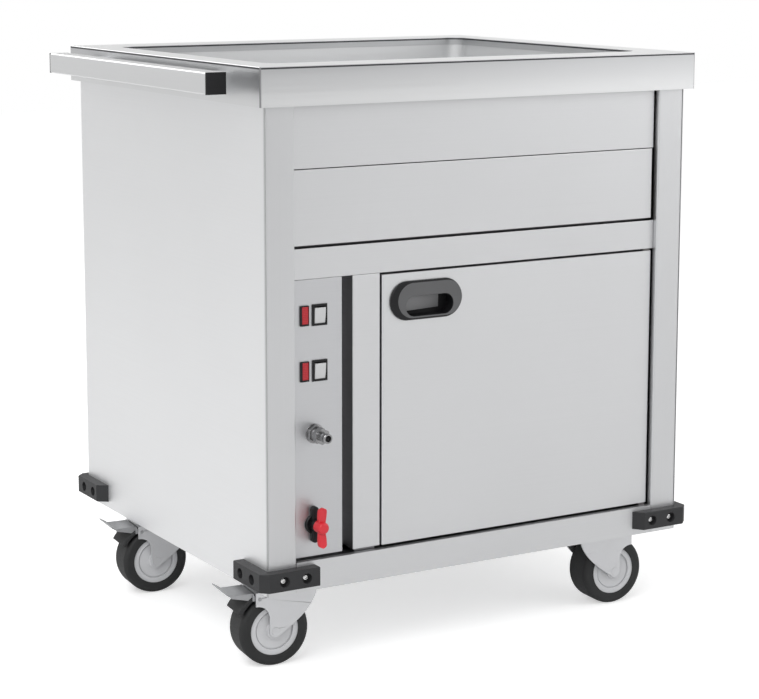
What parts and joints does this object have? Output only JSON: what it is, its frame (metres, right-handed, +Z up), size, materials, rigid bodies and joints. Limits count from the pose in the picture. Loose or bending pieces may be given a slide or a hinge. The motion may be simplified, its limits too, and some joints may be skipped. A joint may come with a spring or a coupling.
{
  "type": "hostess trolley",
  "caption": "Stainless hot-food serving trolley: open heated well in the worktop, heated cupboard with recessed-grip door, control panel, side push handle, corner bumpers and braked castors.",
  "frame": {"origin": "on the floor, under the middle of the whole part, handle and fittings included", "axes": "+Z up, -Y towards the door and the control panel, -X towards the push handle"},
  "size_m": [0.789, 0.68, 0.85],
  "materials": {
    "satin_steel": "satin brushed stainless steel sheet",
    "mineral_wool": "matt insulation blanket",
    "heater_steel": "heat-darkened steel tube",
    "red_lens": "glossy red lens",
    "white_plastic": "smooth white switch plastic",
    "black_plastic": "fine-grained black plastic",
    "red_plastic": "smooth red plastic",
    "galvanised_steel": "galvanised sheet",
    "copper_pipe": "plain copper pipe",
    "fitting_metal": "bright plated metal",
    "grey_rubber": "soft grey silicone seal",
    "grey_bumper": "matt dark grey rubber-like plastic",
    "zinc_steel": "bright zinc-plated pressed steel",
    "dark_tyre": "matt dark grey rubber",
    "grey_nylon": "light grey nylon"
  },
  "bodies": {
    "cabinet": {"worktop": "satin_steel", "well_basin": "satin_steel", "well_insulation": "mineral_wool", "well_heater": "heater_steel", "corner_posts": "satin_steel", "side_panel_left": "satin_steel", "side_panel_right": "satin_steel", "back_panel": "satin_steel", "base_pan": "satin_steel", "bottom_rail": "satin_steel", "upper_fascia": "satin_steel", "mid_rail": "satin_steel", "service_panel": "satin_steel", "stile": "satin_steel", "control_panel": "satin_steel", "indicator_lamps": "red_lens", "switch_bezels": "black_plastic", "wiring_box": "galvanised_steel", "drain_pipe": "copper_pipe", "overflow_pipe": "copper_pipe", "overflow_coupling": "fitting_metal", "drain_valve": "black_plastic", "cupboard_liner": "satin_steel", "cupboard_shelf": "satin_steel", "cupboard_heater": "heater_steel", "hinge_pins": "fitting_metal", "door_catch": "black_plastic", "handle_tube": "satin_steel", "handle_end_caps": "black_plastic", "handle_brackets": "satin_steel", "corner_bumpers": "grey_bumper", "bumper_screws": "fitting_metal", "castor_plates": "zinc_steel", "castor_bolts": "zinc_steel", "cable_gland": "black_plastic"},
    "door": {"door_outer": "satin_steel", "door_inner": "satin_steel", "door_gasket": "grey_rubber", "door_grip": "black_plastic"},
    "well_rocker": {"well_switch": "white_plastic"},
    "cupboard_rocker": {"cupboard_switch": "white_plastic"},
    "valve_lever": {"drain_lever": "red_plastic"},
    "swivel_front_left": {"castor_fork_front_left": "zinc_steel", "castor_axle_front_left": "zinc_steel"},
    "wheel_front_left": {"castor_tyre_front_left": "dark_tyre", "castor_hub_front_left": "grey_nylon"},
    "brake_front_left": {"brake_pedal_front_left": "zinc_steel"},
    "swivel_back_left": {"castor_fork_back_left": "zinc_steel", "castor_axle_back_left": "zinc_steel"},
    "wheel_back_left": {"castor_tyre_back_left": "dark_tyre", "castor_hub_back_left": "grey_nylon"},
    "brake_back_left": {"brake_pedal_back_left": "zinc_steel"},
    "swivel_front_right": {"castor_fork_front_right": "zinc_steel", "castor_axle_front_right": "zinc_steel"},
    "wheel_front_right": {"castor_tyre_front_right": "dark_tyre", "castor_hub_front_right": "grey_nylon"},
    "swivel_back_right": {"castor_fork_back_right": "zinc_steel", "castor_axle_back_right": "zinc_steel"},
    "wheel_back_right": {"castor_tyre_back_right": "dark_tyre", "castor_hub_back_right": "grey_nylon"}
  },
  "joints": [
    {"name": "door_hinge", "type": "hinge", "parent": "cabinet", "child": "door", "pos_m": [0.3237, -0.293, 0.35915], "axis": [0, 0, 1], "range_deg": [0, 95]},
    {"name": "well_switch_rock", "type": "hinge", "parent": "cabinet", "child": "well_rocker", "pos_m": [-0.2404, -0.297, 0.5065], "axis": [1, 0, 0], "range_deg": [-14, 0]},
    {"name": "cupboard_switch_rock", "type": "hinge", "parent": "cabinet", "child": "cupboard_rocker", "pos_m": [-0.2404, -0.297, 0.4285], "axis": [1, 0, 0], "range_deg": [-14, 0]},
    {"name": "drain_lever_turn", "type": "hinge", "parent": "cabinet", "child": "valve_lever", "pos_m": [-0.251, -0.324, 0.211], "axis": [0, 1, 0], "range_deg": [0, 90]},
    {"name": "swivel_front_left", "type": "hinge", "parent": "cabinet", "child": "swivel_front_left", "pos_m": [-0.2605, -0.241, 0.1115], "axis": [0, 0, 1], "continuous": true},
    {"name": "roll_front_left", "type": "hinge", "parent": "swivel_front_left", "child": "wheel_front_left", "pos_m": [-0.29034, -0.23786, 0.052], "axis": [0.1045, 0.9945, 0], "continuous": true},
    {"name": "brake_pedal_front_left", "type": "hinge", "parent": "swivel_front_left", "child": "brake_front_left", "pos_m": [-0.3142, -0.23536, 0.102], "axis": [-0.1045, -0.9945, 0], "range_deg": [0, 7]},
    {"name": "swivel_back_left", "type": "hinge", "parent": "cabinet", "child": "swivel_back_left", "pos_m": [-0.2605, 0.16, 0.1115], "axis": [0, 0, 1], "continuous": true},
    {"name": "roll_back_left", "type": "hinge", "parent": "swivel_back_left", "child": "wheel_back_left", "pos_m": [-0.2904, 0.16251, 0.052], "axis": [0.0837, 0.9965, 0], "continuous": true},
    {"name": "brake_pedal_back_left", "type": "hinge", "parent": "swivel_back_left", "child": "brake_back_left", "pos_m": [-0.31431, 0.16452, 0.102], "axis": [-0.0837, -0.9965, 0], "range_deg": [0, 7]},
    {"name": "swivel_front_right", "type": "hinge", "parent": "cabinet", "child": "swivel_front_right", "pos_m": [0.2665, -0.241, 0.1115], "axis": [0, 0, 1], "continuous": true},
    {"name": "roll_front_right", "type": "hinge", "parent": "swivel_front_right", "child": "wheel_front_right", "pos_m": [0.29646, -0.24257, 0.052], "axis": [-0.0523, -0.9986, 0], "continuous": true},
    {"name": "swivel_back_right", "type": "hinge", "parent": "cabinet", "child": "swivel_back_right", "pos_m": [0.2665, 0.16, 0.1115], "axis": [0, 0, 1], "continuous": true},
    {"name": "roll_back_right", "type": "hinge", "parent": "swivel_back_right", "child": "wheel_back_right", "pos_m": [0.29584, 0.15376, 0.052], "axis": [-0.2079, -0.9781, 0], "continuous": true}
  ]
}
